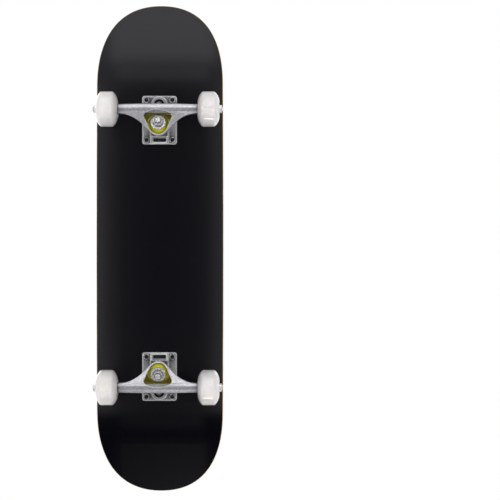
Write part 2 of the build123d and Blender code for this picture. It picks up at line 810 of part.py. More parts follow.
# Wheel: cast urethane with a flat tread, round shoulders and two bearing seats
lip_radius = wheel_lip_diameter / 2
seat_face = bearing_pair / 2
with BuildPart() as wheel:
    with BuildSketch(Plane.XY):
        with BuildLine():
            tread = Line((wheel_diameter / 2, 0), (wheel_diameter / 2, tread_width / 2))
            shoulder = Bezier(
                tread @ 1,
                (wheel_diameter / 2, tread_width / 2 + shoulder_fullness),
                (lip_radius + side_fullness, wheel_width / 2 - side_fall),
                (lip_radius, wheel_width / 2),
            )
            lip = Line(shoulder @ 1, (bearing_diameter / 2 + wheel_lip_step, seat_face))
            ledge = Line(lip @ 1, (bearing_diameter / 2 + seat_gap, seat_face))
            seat = Line(ledge @ 1, (bearing_diameter / 2 + seat_gap, bearing_spacer_length / 2))
            stop = Line(seat @ 1, (bearing_diameter / 2 - wheel_stop_height, bearing_spacer_length / 2))
            core = Line(stop @ 1, (bearing_diameter / 2 - wheel_stop_height, 0))
            Line(core @ 1, tread @ 0)
        make_face()
        mirror(about=Plane.XZ)
    revolve(axis=Axis.Y)


def both_seats(piece):
    """A bearing piece at both bearing seats of a wheel."""
    with BuildPart() as pair:
        with Locations(*[(0, middle, 0) for middle in bearing_middles]):
            add(piece)
    return pair.part


wheel_pieces = {
    "wheel": wheel.part,
    "bearing_outer_rings": both_seats(outer_ring.part),
    "bearing_shields": both_seats(shields.part),
    "bearing_balls": both_seats(balls.part),
    "bearing_cages": both_seats(cage.part),
}

# Both trucks and all four wheels in their places
for end, place in truck_places.items():
    for name, piece in truck_pieces.items():
        pieces[f"{end}_{name}"] = piece.moved(place)
wheel_x = truck_spacing / 2 + axle_reach
for end, x in (("front", wheel_x), ("rear", -wheel_x)):
    for hand, y in (("left", wheel_place), ("right", -wheel_place)):
        spot = Location((x, y, wheel_diameter / 2))
        for name, piece in wheel_pieces.items():
            pieces[f"{end}_{hand}_{name}"] = piece.moved(spot)

os.makedirs("parts", exist_ok=True)
for name, piece in pieces.items():
    piece.label = name
    export_step(piece, f"parts/{name}.step")
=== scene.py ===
# %% [markdown]
# # A complete skateboard, dressed over its solids
# The solids already have the real sizes: a kicked maple deck, two trucks that steer on rubber-like
# bushings, and four wheels on ball bearings. This lesson gives every one of them the surface it
# has in the hand, remakes the soft bushings and pivot cups, winds the thread on the bare ends of
# the deck bolts, and lights the board as a shop would.

# %% Load the solids
import math

import bmesh
import bpy
from mathutils import Matrix, Vector


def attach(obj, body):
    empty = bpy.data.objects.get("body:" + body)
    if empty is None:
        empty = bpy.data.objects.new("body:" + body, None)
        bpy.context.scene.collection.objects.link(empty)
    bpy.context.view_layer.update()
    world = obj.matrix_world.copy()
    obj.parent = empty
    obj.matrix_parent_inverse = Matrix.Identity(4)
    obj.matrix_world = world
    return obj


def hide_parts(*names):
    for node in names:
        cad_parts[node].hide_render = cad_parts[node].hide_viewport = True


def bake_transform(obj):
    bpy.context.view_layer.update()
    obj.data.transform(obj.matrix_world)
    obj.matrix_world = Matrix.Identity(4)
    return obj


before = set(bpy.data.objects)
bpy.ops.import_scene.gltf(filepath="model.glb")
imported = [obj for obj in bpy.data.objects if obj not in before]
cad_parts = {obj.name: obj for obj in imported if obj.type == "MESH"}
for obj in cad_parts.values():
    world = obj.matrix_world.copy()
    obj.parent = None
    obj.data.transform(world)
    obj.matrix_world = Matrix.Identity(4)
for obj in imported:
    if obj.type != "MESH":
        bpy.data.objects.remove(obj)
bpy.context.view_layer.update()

MM = 0.001

# %% [markdown]
# ## Colours and nodes
# Colours are easiest to read as the hex values that a paint chart or a picture gives. Those
# are sRGB, and shaders work in linear light, so one function turns the one into the other.
# A second small function adds a node, sets it and links it, so that each material below
# reads as a list of what it is made of.

# %% Two helpers for every material
def linear(hex_colour):
    """An sRGB hex colour as linear RGBA."""
    channels = [int(hex_colour[at:at + 2], 16) / 255 for at in (0, 2, 4)]
    return [c / 12.92 if c <= 0.04045 else ((c + 0.055) / 1.055) ** 2.4 for c in channels] + [1.0]


def put(tree, kind, sockets=None, **settings):
    """Adds a node, sets its properties, and sets or links its input sockets."""
    node = tree.nodes.new(kind)
    for name, value in settings.items():
        setattr(node, name, value)
    for name, value in (sockets or {}).items():
        if isinstance(value, bpy.types.NodeSocket):
            tree.links.new(value, node.inputs[name])
        else:
            node.inputs[name].default_value = value
    return node


def new_material(name):
    """An empty node material, with its surface shader and output already joined."""
    material = bpy.data.materials.new(name)
    material.use_nodes = True
    tree = material.node_tree
    tree.nodes.clear()
    shader = put(tree, "ShaderNodeBsdfPrincipled")
    put(tree, "ShaderNodeOutputMaterial", {"Surface": shader.outputs[0]})
    return material, tree, shader


def colour_steps(ramp, steps):
    """Sets a colour ramp to (position, hex colour) steps."""
    stops = ramp.color_ramp.elements
    while len(stops) < len(steps):
        stops.new(1.0)
    for stop, (position, colour) in zip(stops, steps):
        stop.position = position
        stop.color = linear(colour)


print("white in linear light:", linear("FFFFFF"))

# %% [markdown]
# ## The deck
# A deck is seven plies of maple glued in a press, stained black underneath, with the pale
# plies left bare along the sawn and sanded edge. The plies follow the press: they bow up at
# both sides and bend up into the kicks. An image would have to be wrapped round all that, so
# the material works out instead how deep in the board each point lies. It unrolls the kick
# first, then the concave, and what is left is the height above the underside.

# %% Black-stained maple with a bare ply edge
# The deck's own measures: from the floor to its underside, its bends, and its thickness
DECK_DROP = 80.5 * MM
KICK_START = 245.0 * MM
KICK_RADIUS = 187.0 * MM
KICK_ANGLE = math.radians(21.5)
CONCAVE_FLAT = 62.0 * MM
CONCAVE_RADIUS = 130.0 * MM
DECK_THICKNESS = 11.0 * MM
PLY = DECK_THICKNESS / 7
STAIN_DEPTH = 0.6 * MM
# Grain lines are narrow and run far along the board
GRAIN_WIDTH = 2.38 * MM
GRAIN_LENGTH = 83.3 * MM
LONG_PLY, CROSS_PLY, GLUE = "D9B98A", "B98F5E", "7A5A38"
LACQUER_ROUGH = 0.3
SANDED_ROUGH = 0.6
# Metres, more than any point of the board reaches
FAR = 9.0


def depth_in_deck(tree, place):
    """Height above the deck's underside, measured square to the bent plies."""
    xyz = put(tree, "ShaderNodeSeparateXYZ", {0: place})
    along = put(tree, "ShaderNodeMath", {0: xyz.outputs["X"]}, operation="ABSOLUTE")
    past = put(tree, "ShaderNodeMath", {0: along.outputs[0], 1: KICK_START}, operation="SUBTRACT")
    bent = put(tree, "ShaderNodeMath", {0: past.outputs[0], 1: 0.0}, operation="MAXIMUM")
    under = put(
        tree,
        "ShaderNodeMath",
        {0: KICK_RADIUS + DECK_DROP, 1: xyz.outputs["Z"]},
        operation="SUBTRACT",
    )
    spoke = put(tree, "ShaderNodeCombineXYZ", {"X": bent.outputs[0], "Y": under.outputs[0]})
    turned = put(
        tree,
        "ShaderNodeVectorRotate",
        {"Vector": spoke.outputs[0], "Angle": KICK_ANGLE},
        rotation_type="Z_AXIS",
    )
    # Past the bend the kick is straight, and there only the distance square to it counts
    held = put(
        tree,
        "ShaderNodeVectorMath",
        {0: turned.outputs[0], 1: (0.0, FAR, FAR)},
        operation="MINIMUM",
    )
    radius = put(tree, "ShaderNodeVectorMath", {0: held.outputs[0]}, operation="LENGTH")
    rise = put(
        tree,
        "ShaderNodeMath",
        {0: radius.outputs["Value"], 1: CONCAVE_RADIUS - KICK_RADIUS},
        operation="ADD",
    )
    across = put(tree, "ShaderNodeMath", {0: xyz.outputs["Y"]}, operation="ABSOLUTE")
    outer = put(
        tree,
        "ShaderNodeMath",
        {0: across.outputs[0], 1: CONCAVE_FLAT},
        operation="SUBTRACT",
    )
    bowed = put(tree, "ShaderNodeMath", {0: outer.outputs[0], 1: 0.0}, operation="MAXIMUM")
    arm = put(tree, "ShaderNodeCombineXYZ", {"X": bowed.outputs[0], "Y": rise.outputs[0]})
    reach = put(tree, "ShaderNodeVectorMath", {0: arm.outputs[0]}, operation="LENGTH")
    depth = put(
        tree,
        "ShaderNodeMath",
        {0: CONCAVE_RADIUS, 1: reach.outputs["Value"]},
        operation="SUBTRACT",
    )
    return depth.outputs[0]


def make_stained_maple():
    """Maple plies with a black stain under a satin lacquer on the underside."""
    # To the eye: a near-black face with a soft gloss, and warm stripes along the sawn edge
    material, tree, shader = new_material("black_stained_maple_ply")
    place = put(tree, "ShaderNodeTexCoord").outputs["Object"]
    depth = depth_in_deck(tree, place)
    # Every second ply runs across the board and takes the light darker; glue shows between
    turn = put(tree, "ShaderNodeMath", {0: depth, 1: math.pi / PLY}, operation="MULTIPLY")
    wave = put(tree, "ShaderNodeMath", {0: turn.outputs[0]}, operation="SINE")
    even = put(tree, "ShaderNodeMapRange", {"Value": wave.outputs[0], "From Min": -1.0})
    plies = put(tree, "ShaderNodeValToRGB", {"Fac": even.outputs[0]})
    colour_steps(
        plies,
        [(0.0, CROSS_PLY), (0.44, CROSS_PLY), (0.5, GLUE), (0.56, LONG_PLY), (1.0, LONG_PLY)],
    )
    stretched = put(
        tree,
        "ShaderNodeMapping",
        {"Vector": place, "Scale": (1 / GRAIN_LENGTH, 1 / GRAIN_WIDTH, 1 / GRAIN_WIDTH)},
    )
    grain = put(
        tree,
        "ShaderNodeTexNoise",
        {"Vector": stretched.outputs[0], "Scale": 1.0, "Detail": 4.0},
    )
    stain = put(tree, "ShaderNodeValToRGB", {"Fac": grain.outputs["Fac"]})
    colour_steps(stain, [(0.3, "010107"), (0.7, "04040C")])
    edge = put(
        tree,
        "ShaderNodeMapRange",
        {"Value": depth, "From Min": STAIN_DEPTH * 0.8, "From Max": STAIN_DEPTH * 1.2},
    )
    colour = put(
        tree,
        "ShaderNodeMix",
        {0: edge.outputs[0], 6: stain.outputs["Color"], 7: plies.outputs["Color"]},
        data_type="RGBA",
    )
    rough = put(
        tree,
        "ShaderNodeMapRange",
        {"Value": edge.outputs[0], "To Min": LACQUER_ROUGH, "To Max": SANDED_ROUGH},
    )
    bump = put(
        tree,
        "ShaderNodeBump",
        {"Height": grain.outputs["Fac"], "Strength": 0.05, "Distance": 0.2 * MM},
    )
    tree.links.new(colour.outputs[2], shader.inputs["Base Color"])
    tree.links.new(rough.outputs[0], shader.inputs["Roughness"])
    tree.links.new(bump.outputs[0], shader.inputs["Normal"])
    shader.inputs["Specular IOR Level"].default_value = 0.32
    return material


stained_maple = make_stained_maple()
print("made", stained_maple.name)

# %% [markdown]
# ## The grip tape
# Grip tape is silicon carbide grit glued to paper. Real grit is about 0.3 mm across, finer
# than a picture of the whole board can show, so it is drawn at 1.4 mm: dark grains with a
# few facets that catch the light.

# %% Silicon carbide grip
GRIT = 1.4 * MM
MOTTLE = 12.0 * MM


def make_grip():
    """Black grit paper: rough, with a little glitter."""
    # To the eye: a black that swallows light, with fine grey specks and no clear gloss
    material, tree, shader = new_material("silicon_carbide_grip")
    place = put(tree, "ShaderNodeTexCoord").outputs["Object"]
    grains = put(tree, "ShaderNodeTexVoronoi", {"Vector": place, "Scale": 1 / GRIT})
    cloud = put(tree, "ShaderNodeTexNoise", {"Vector": place, "Scale": 1 / MOTTLE, "Detail": 2.0})
    grain_hue = put(tree, "ShaderNodeSeparateXYZ", {0: grains.outputs["Color"]})
    mixed = put(
        tree,
        "ShaderNodeMath",
        {0: grain_hue.outputs[0], 1: cloud.outputs["Fac"]},
        operation="MULTIPLY",
    )
    colour = put(tree, "ShaderNodeValToRGB", {"Fac": mixed.outputs[0]})
    colour_steps(colour, [(0.0, "0B0A10"), (0.35, "111016"), (0.62, "25242C")])
    bump = put(
        tree,
        "ShaderNodeBump",
        {"Height": grains.outputs["Distance"], "Strength": 0.5, "Distance": 0.25 * MM},
    )
    tree.links.new(colour.outputs["Color"], shader.inputs["Base Color"])
    tree.links.new(bump.outputs[0], shader.inputs["Normal"])
    shader.inputs["Roughness"].default_value = 0.72
    shader.inputs["Specular IOR Level"].default_value = 0.25
    return material


grip = make_grip()
print("made", grip.name)

# %% [markdown]
# ## The trucks
# Hangers and baseplates are cast aluminium, tumbled in a drum with stones until the skin is satin.
# The stones scuff the edges, and the edges are painted white on top of that: a painted highlight,
# as a rounded rim would catch the light. The stones can't reach into pockets, which keep the dull
# skin of the mould and are painted dark as well: painted shade. Round the bushings the hollows are
# painted yellow instead: painted bounce light from the yellow urethane. A painter would put all
# that on by hand. Here a Bevel node finds the edges, because its softened normal turns away from
# the real one there, an Ambient Occlusion node finds the hollows, and the distance from the middle
# of a bowl says where the yellow bounce is painted.

# %% Tumbled cast aluminium
# The pebble that the stones leave is about 0.5 mm across: drawn at 2.6 mm, so that it shows
PEBBLE = 2.6 * MM
WORN_PATCH = 9.0 * MM
EDGE_RUB_AND_HIGHLIGHT = 2.6 * MM
HOLLOW_SHADE_REACH = 20.0 * MM
BOWL_MIDDLE = (196.0 * MM, 0.0, 41.0 * MM)
BOWL_REACH = 27.0 * MM


def make_cast_aluminium():
    """Cast aluminium: a satin skin with a painted highlight on the edges and painted shade in the
    hollows.
    """
    # To the eye: a pale satin grey, white lines along the rims that are a painted highlight, and
    # pockets painted dark as shade
    material, tree, shader = new_material("tumbled_cast_aluminium")
    place = put(tree, "ShaderNodeTexCoord").outputs["Object"]
    pebble = put(tree, "ShaderNodeTexNoise", {"Vector": place, "Scale": 1 / PEBBLE, "Detail": 1.0})
    patches = put(
        tree, "ShaderNodeTexNoise", {"Vector": place, "Scale": 1 / WORN_PATCH, "Detail": 3.0}
    )
    skin = put(tree, "ShaderNodeValToRGB", {"Fac": pebble.outputs["Fac"]})
    colour_steps(skin, [(0.35, "D0D0D6"), (0.65, "E4E4E8")])
    # Both trucks are alike, so the distance is taken on one side of the board for both
    folded = put(tree, "ShaderNodeVectorMath", {0: place}, operation="ABSOLUTE")
    reach = put(
        tree, "ShaderNodeVectorMath", {0: folded.outputs[0], 1: BOWL_MIDDLE}, operation="DISTANCE"
    )
    near_bowl_bounce = put(
        tree,
        "ShaderNodeMapRange",
        {"Value": reach.outputs["Value"], "From Min": BOWL_REACH, "From Max": BOWL_REACH * 0.8},
    )
    # Painted light for the hollows: painted yellow bounce light from the bushings near a bowl,
    # painted dark shade elsewhere
    hollow_shade_and_bushing_bounce = put(
        tree,
        "ShaderNodeMix",
        {0: near_bowl_bounce.outputs[0], 6: linear("3C3C44"), 7: linear("DAD046")},
        data_type="RGBA",
    )
    # Painted shade: where the AO node finds a hollow the colour darkens, over the dull skin of the
    # mould that the pockets really keep
    open_air = put(tree, "ShaderNodeAmbientOcclusion", {"Distance": HOLLOW_SHADE_REACH}, samples=8)
    painted_hollow_shade = put(
        tree,
        "ShaderNodeMapRange",
        {"Value": open_air.outputs["AO"], "From Min": 0.9, "From Max": 0.4},
    )
    skin_with_painted_shade = put(
        tree,
        "ShaderNodeMix",
        {0: painted_hollow_shade.outputs[0], 6: skin.outputs["Color"], 7: hollow_shade_and_bushing_bounce.outputs[2]},
        data_type="RGBA",
    )
    flat = put(tree, "ShaderNodeNewGeometry").outputs["Normal"]
    softened = put(tree, "ShaderNodeBevel", {"Radius": EDGE_RUB_AND_HIGHLIGHT}, samples=6)
    turned = put(
        tree, "ShaderNodeVectorMath", {0: softened.outputs[0], 1: flat}, operation="DOT_PRODUCT"
    )
    # Painted highlight: along the edges the colour goes to white, as a rounded rim would catch the
    # light, besides the real scuffs
    scuffs_and_painted_highlight = put(
        tree,
        "ShaderNodeMapRange",
        {"Value": turned.outputs["Value"], "From Min": 0.99, "From Max": 0.93},
    )
    colour = put(
        tree,
        "ShaderNodeMix",
        {0: scuffs_and_painted_highlight.outputs[0], 6: skin_with_painted_shade.outputs[2], 7: linear("FFFFFF")},
        data_type="RGBA",
    )
    worn = put(
        tree,
        "ShaderNodeMapRange",
        {
            "Value": patches.outputs["Fac"],
            "From Min": 0.3,
            "From Max": 0.7,
            "To Min": 0.3,
            "To Max": 0.4,
        },
    )
    rough = put(tree, "ShaderNodeMix", {0: scuffs_and_painted_highlight.outputs[0], 2: worn.outputs[0], 3: 0.5})
    bump = put(
        tree,
        "ShaderNodeBump",
        {
            "Height": pebble.outputs["Fac"],
            "Strength": 0.7,
            "Distance": 0.3 * MM,
            "Normal": softened.outputs[0],
        },
    )
    # Oxide and scuffs scatter part of the light as chalk does, most of all along the edges, where
    # the low metal with the white colour is also a painted highlight
    bare = put(
        tree, "ShaderNodeMapRange", {"Value": scuffs_and_painted_highlight.outputs[0], "To Min": 0.8, "To Max": 0.1}
    )
    tree.links.new(colour.outputs[2], shader.inputs["Base Color"])
    tree.links.new(bare.outputs[0], shader.inputs["Metallic"])
    tree.links.new(rough.outputs[0], shader.inputs["Roughness"])
    tree.links.new(bump.outputs[0], shader.inputs["Normal"])
    return material


cast_aluminium = make_cast_aluminium()
print("made", cast_aluminium.name)

# %% [markdown]
# ## Steel
# The nuts, washers, kingpins and axles are steel with bright zinc; the deck bolts are black
# oxide; the bearing rings are ground and the shields pressed from sheet. They differ in
# colour, in gloss and in how large the marks on them are, so one function makes all four.

# %% Zinc, black oxide, ground and pressed steel
STEEL_EDGE = 1.2 * MM
CORNER_SHADE_REACH = 5.0 * MM


def make_steel(name, dark, bright, smooth, coarse, mark, bare=1.0):
    """Steel whose colour and gloss wander between two values over marks of a given size."""
    # To the eye: tight highlights that follow the edges, with dark lines where pieces meet that
    # are painted shade
    material, tree, shader = new_material(name)
    place = put(tree, "ShaderNodeTexCoord").outputs["Object"]
    marks = put(tree, "ShaderNodeTexNoise", {"Vector": place, "Scale": 1 / mark, "Detail": 2.0})
    skin = put(tree, "ShaderNodeValToRGB", {"Fac": marks.outputs["Fac"]})
    colour_steps(skin, [(0.35, dark), (0.65, bright)])
    # Painted shade: the corners between the pieces are painted dark, where shade falls
    open_air = put(tree, "ShaderNodeAmbientOcclusion", {"Distance": CORNER_SHADE_REACH}, samples=8)
    painted_corner_shade = put(
        tree,
        "ShaderNodeMapRange",
        {"Value": open_air.outputs["AO"], "From Min": 0.85, "From Max": 0.45},
    )
    colour = put(
        tree,
        "ShaderNodeMix",
        {0: painted_corner_shade.outputs[0], 6: skin.outputs["Color"], 7: linear("2A2A2E")},
        data_type="RGBA",
    )
    rough = put(
        tree,
        "ShaderNodeMapRange",
        {
            "Value": marks.outputs["Fac"],
            "From Min": 0.3,
            "From Max": 0.7,
            "To Min": smooth,
            "To Max": coarse,
        },
    )
    softened = put(tree, "ShaderNodeBevel", {"Radius": STEEL_EDGE}, samples=4)
    tree.links.new(colour.outputs[2], shader.inputs["Base Color"])
    tree.links.new(rough.outputs[0], shader.inputs["Roughness"])
    tree.links.new(softened.outputs[0], shader.inputs["Normal"])
    shader.inputs["Metallic"].default_value = bare
    return material


zinc = make_steel(
    "bright_zinc_steel", "E6E8EC", "F4F5F8", smooth=0.24, coarse=0.3, mark=3 * MM, bare=0.65
)
black_oxide = make_steel(
    "black_oxide_steel", "36363C", "48484E", smooth=0.34, coarse=0.44, mark=2 * MM
)
ground_steel = make_steel(
    "ground_bearing_steel", "C8C9CC", "E0E0E2", smooth=0.12, coarse=0.2, mark=1.5 * MM
)
shield_steel = make_steel(
    "pressed_shield_steel", "8E9094", "A6A8AC", smooth=0.25, coarse=0.38, mark=2 * MM
)
print("made", [m.name for m in (zinc, black_oxide, ground_steel, shield_steel)])

# %% [markdown]
# ## Urethane and nylon
# Wheels and bushings are cast polyurethane: solid right through, a little waxy, and light
# gets a short way in before it comes out. The nylon rings in the lock nuts are the same kind
# of surface. Only the colour, the gloss and how far light travels differ.

# %% Cast urethane and nylon
def make_cast_plastic(name, dark, bright, rough, shine, depth, mark):
    """A cast plastic that scatters a little light under its skin."""
    # To the eye: an even, slightly waxy colour under a thin clear shine from the mould
    material, tree, shader = new_material(name)
    place = put(tree, "ShaderNodeTexCoord").outputs["Object"]
    clouds = put(tree, "ShaderNodeTexNoise", {"Vector": place, "Scale": 1 / mark, "Detail": 2.0})
    colour = put(tree, "ShaderNodeValToRGB", {"Fac": clouds.outputs["Fac"]})
    colour_steps(colour, [(0.35, dark), (0.65, bright)])
    bump = put(
        tree,
        "ShaderNodeBump",
        {"Height": clouds.outputs["Fac"], "Strength": 0.05, "Distance": 0.2 * MM},
    )
    tree.links.new(colour.outputs["Color"], shader.inputs["Base Color"])
    tree.links.new(bump.outputs[0], shader.inputs["Normal"])
    shader.inputs["Roughness"].default_value = rough
    shader.inputs["IOR"].default_value = 1.5
    shader.inputs["Coat Weight"].default_value = shine
    shader.inputs["Coat Roughness"].default_value = 0.1
    shader.inputs["Subsurface Weight"].default_value = 0.5
    shader.inputs["Subsurface Radius"].default_value = (1.0, 0.9, 0.8)
    shader.inputs["Subsurface Scale"].default_value = depth
    return material


white_urethane = make_cast_plastic(
    "white_cast_urethane", "E2DFDE", "E8E5E4", rough=0.45, shine=1.0, depth=3 * MM, mark=5 * MM
)
yellow_urethane = make_cast_plastic(
    "yellow_cast_urethane", "CFC926", "DCD832", rough=0.3, shine=0.4, depth=2.5 * MM, mark=4 * MM
)
black_urethane = make_cast_plastic(
    "black_cast_urethane", "141416", "1B1B1D", rough=0.45, shine=0.2, depth=0.2 * MM, mark=3 * MM
)
nylon = make_cast_plastic(
    "black_nylon_lock_ring", "1C1C20", "26262A", rough=0.4, shine=0.2, depth=0.2 * MM, mark=2 * MM
)
print("made", [m.name for m in (white_urethane, yellow_urethane, black_urethane, nylon)])

# %% [markdown]
# ## Dressing the solids
# A solid keeps its mesh and only changes its material. Assigning the materials one by one
# would take a line for each of the 57 solids. Their names end in what they are, such as a
# wheel, a washer or a shield, so a short table of endings dresses both trucks and all four
# wheels at once. What isn't in the table is zinc-plated steel.

# %% Give each solid its surface
FINISHES = {
    "deck": stained_maple,
    "grip_tape": grip,
    "deck_bolts": black_oxide,
    "hanger": cast_aluminium,
    "baseplate": cast_aluminium,
    "pivot_cup": black_urethane,
    "bushing": yellow_urethane,
    "wheel": white_urethane,
    "insert": nylon,
    "inserts": nylon,
    "shields": shield_steel,
    "cages": shield_steel,
    "balls": ground_steel,
    "rings": ground_steel,
}
dressed = {}
for name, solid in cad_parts.items():
    finish = FINISHES.get(name)
    for ending, material in FINISHES.items():
        if finish is None and name.endswith("_" + ending):
            finish = material
    finish = finish or zinc
    solid.data.materials.clear()
    solid.data.materials.append(finish)
    dressed.setdefault(finish.name, []).append(name)
for finish, names in dressed.items():
    print(finish, len(names))

# %% [markdown]
# ## The bushings
# Each truck turns against two urethane bushings. As the hanger leans, one side of each is squeezed
# and the other let out, so a stiff solid would cut through the casting. They are spun here from a
# short profile with rounded lips. One end sits on the board's side and the other on the hanger's,
# and the hanger's end also slides sideways past the kingpin, so the bore is wider there.

# %% Spin the bushings
KINGPIN_INSET = 18.5 * MM
KINGPIN_LEAN = math.radians(16.0)
TRUCK_PLACE = 204.0 * MM
KINGPIN_HOLE = 4.85 * MM
KINGPIN_PLAY = 0.7 * MM
BUSHING_LIP = 0.6 * MM
SIDE_STEPS = 12
SPIN_STEPS = 64
MERGE_DISTANCE = 0.001 * MM


def kingpin_point(end, station):
    """A point on a truck's kingpin, at a distance along it from the deck's underside."""
    x = -KINGPIN_INSET + station * math.sin(KINGPIN_LEAN)
    side = 1 if end == "front" else -1
    return Vector((side * (TRUCK_PLACE + x), 0, DECK_DROP - station * math.cos(KINGPIN_LEAN)))


def finish_mesh(shape, name, material):
    """Turns a bmesh into a smooth-shaded object with one material."""
    bmesh.ops.remove_doubles(shape, verts=shape.verts, dist=MERGE_DISTANCE)
    bmesh.ops.recalc_face_normals(shape, faces=shape.faces)
    mesh = bpy.data.meshes.new(name)
    shape.to_mesh(mesh)
    shape.free()
    mesh.materials.append(material)
    mesh.shade_smooth()
    piece = bpy.data.objects.new(name, mesh)
    bpy.context.collection.objects.link(piece)
    return piece


def spin_profile(points, centre, axis, steps, closed=True):
    """(Radius, distance along the axis) points turned once about the axis."""
    axis = axis.normalized()
    out = axis.orthogonal().normalized()
    shape = bmesh.new()
    corners = [shape.verts.new(centre + out * r + axis * a) for r, a in points]
    ends = corners[1:] + corners[:1] if closed else corners[1:]
    edges = [shape.edges.new((a, b)) for a, b in zip(corners, ends)]
    bmesh.ops.spin(
        shape,
        geom=corners + edges,
        cent=centre,
        axis=axis,
        angle=math.tau,
        steps=steps,
        use_merge=True,
    )
    return shape


def bushing_profile(start, end, start_radius, end_radius, bulge, start_hole, end_hole):
    """Half section of a bushing: a bore, two flat ends with rounded lips, a curved side."""
    points = [(start_hole, start), (start_radius - BUSHING_LIP, start)]
    for step in range(SIDE_STEPS + 1):
        share = step / SIDE_STEPS
        radius = start_radius + (end_radius - start_radius) * share
        swell = bulge * 4 * share * (1 - share)
        along = start + BUSHING_LIP + (end - start - 2 * BUSHING_LIP) * share
        points.append((radius + swell, along))
    points += [(end_radius - BUSHING_LIP, end), (end_hole, end)]
    return points


BUSHINGS = {
    # name: start and end along the kingpin, radius at each, and bulge, in millimetres
    "boardside_bushing": (14.5, 28.0, 10.25, 10.25, 1.0),
    "roadside_bushing": (33.0, 44.0, 14.2, 9.5, 1.4),
}
for end in ("front", "rear"):
    for kind, sizes in BUSHINGS.items():
        start, stop, r0, r1, bulge = [size * MM for size in sizes]
        holes = (KINGPIN_HOLE, KINGPIN_HOLE + KINGPIN_PLAY)
        bodies = ("board", f"{end}_steering")
        if kind == "roadside_bushing":
            holes, bodies = holes[::-1], bodies[::-1]
        base = kingpin_point(end, 0)
        axis = kingpin_point(end, 1) - base
        section = bushing_profile(start, stop, r0, r1, bulge, *holes)
        shape = spin_profile(section, base, axis, SPIN_STEPS)
        piece = finish_mesh(shape, f"{end}_{kind}_cast", yellow_urethane)
        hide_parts(f"{end}_{kind}")
        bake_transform(piece)
        print(piece.name, len(piece.data.polygons), "faces")

# %% [markdown]
# ## The pivot cups
# The hanger's round nose turns in a moulded cup that is pressed into the baseplate. Only the
# cup's lip shows. It is spun like the bushings, but its section starts and ends on the axis,
# so the profile stays open there and the merge closes both poles. The socket is a quarter of
# a millimetre larger than the ball, so that the nose can roll in it at full lean.

# %% Spin the pivot cups
PIVOT_REACH = 26.1 * MM
PIVOT_DROP = 11.5 * MM
PIVOT_LEAN = math.radians(66.0)
CUP_RADIUS = 8.2 * MM
CUP_BASE = -5.95 * MM
CUP_MOUTH = 3.4 * MM
CUP_LIP = 0.5 * MM
SOCKET_RADIUS = 4.75 * MM
SOCKET_FLARE = 1.5 * MM
SOCKET_STEPS = 12

cup_section = [
    (0.0, CUP_BASE),
    (CUP_RADIUS, CUP_BASE),
    (CUP_RADIUS, CUP_MOUTH - CUP_LIP),
    (CUP_RADIUS - CUP_LIP, CUP_MOUTH),
    (SOCKET_RADIUS + SOCKET_FLARE, CUP_MOUTH),
]
for step in range(SOCKET_STEPS + 1):
    turn = math.pi / 2 * step / SOCKET_STEPS
    cup_section.append((SOCKET_RADIUS * math.cos(turn), -SOCKET_RADIUS * math.sin(turn)))
for end, side in (("front", 1), ("rear", -1)):
    ball = Vector((side * (TRUCK_PLACE + PIVOT_REACH), 0, DECK_DROP - PIVOT_DROP))
    nose = Vector((-side * math.cos(PIVOT_LEAN), 0, -math.sin(PIVOT_LEAN)))
    shape = spin_profile(cup_section, ball, nose, SPIN_STEPS, closed=False)
    cup = finish_mesh(shape, f"{end}_pivot_cup_moulded", black_urethane)
    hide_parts(f"{end}_pivot_cup")
    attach(cup, "board")
    print(cup.name, len(cup.data.polygons), "faces")

# %% [markdown]
# ## The threads
# Each deck bolt stands 3 mm out of its lock nut, and there its thread shows: one ridge that
# winds round the shank. A Screw modifier could make it. The spin operator does the same when
# every step round the bolt also goes a step along it, which turns the circle into a helix.

# %% Wind the bolt threads
BOLT_ALONG = 31.75 * MM
BOLT_ACROSS = 20.64 * MM
BOLT_RADIUS = 2.4 * MM
# Close to where the chamfer on the bolt's tip stops
BOLT_FOOT = 67.9 * MM
THREAD_PITCH = 0.8 * MM
THREAD_RISE = 0.2 * MM
RIDGE_WIDTH = 0.8 * THREAD_PITCH
THREAD_TURNS = 2.5
TURN_STEPS = 20


def wind_thread(shape, foot):
    """Winds one ridge round a bolt's shank, upwards from its foot."""
    low, high = BOLT_RADIUS - THREAD_RISE, BOLT_RADIUS + THREAD_RISE
    ridge = [(low, 0.0), (high, RIDGE_WIDTH / 2), (low, RIDGE_WIDTH)]
    corners = [shape.verts.new(foot + Vector((radius, 0, rise))) for radius, rise in ridge]
    start = shape.faces.new(corners)
    bmesh.ops.spin(
        shape,
        geom=corners + list(start.edges) + [start],
        cent=foot,
        axis=(0, 0, 1),
        dvec=(0, 0, THREAD_PITCH / TURN_STEPS),
        angle=math.tau * THREAD_TURNS,
        steps=round(TURN_STEPS * THREAD_TURNS),
    )


shape = bmesh.new()
for side in (-1, 1):
    for along in (-BOLT_ALONG, BOLT_ALONG):
        for across in (-BOLT_ACROSS, BOLT_ACROSS):
            wind_thread(shape, Vector((side * TRUCK_PLACE + along, across, BOLT_FOOT)))
threads = finish_mesh(shape, "deck_bolt_threads", black_oxide)
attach(threads, "board")
print(threads.name, len(threads.data.polygons), "faces")

# %% [markdown]
# ## Floor, world and light
# The board stands on a pale floor, but the camera looks up at it from below, so the floor is
# one-sided: from underneath, and to the rays that lamps send, it isn't there. Seen by the
# underside it is still a pale sheet in the board's own shade, and that is what the dark
# lacquer mirrors. Behind the tail a black card, which photographers call a flag, does the
# opposite: only mirrors see it, and it keeps the tail dark while the nose shines. The world is
# white to the eye and to mirrors and a little softer as a light.

# %% Floor and world
# Metres: half the floor's side, and the flag's front edge, half width, length and height
FLOOR_SIZE = 12.0
FLAG_FRONT = -0.29
FLAG_REACH = 1.5
FLAG_LENGTH = 1.0
FLAG_HEIGHT = 0.3
FLOOR_DROP = 0.05 * MM
FLAG_LIFT = 0.1 * MM
WORLD_AS_LIGHT = 0.75
WORLD_AS_SEEN = 1.0


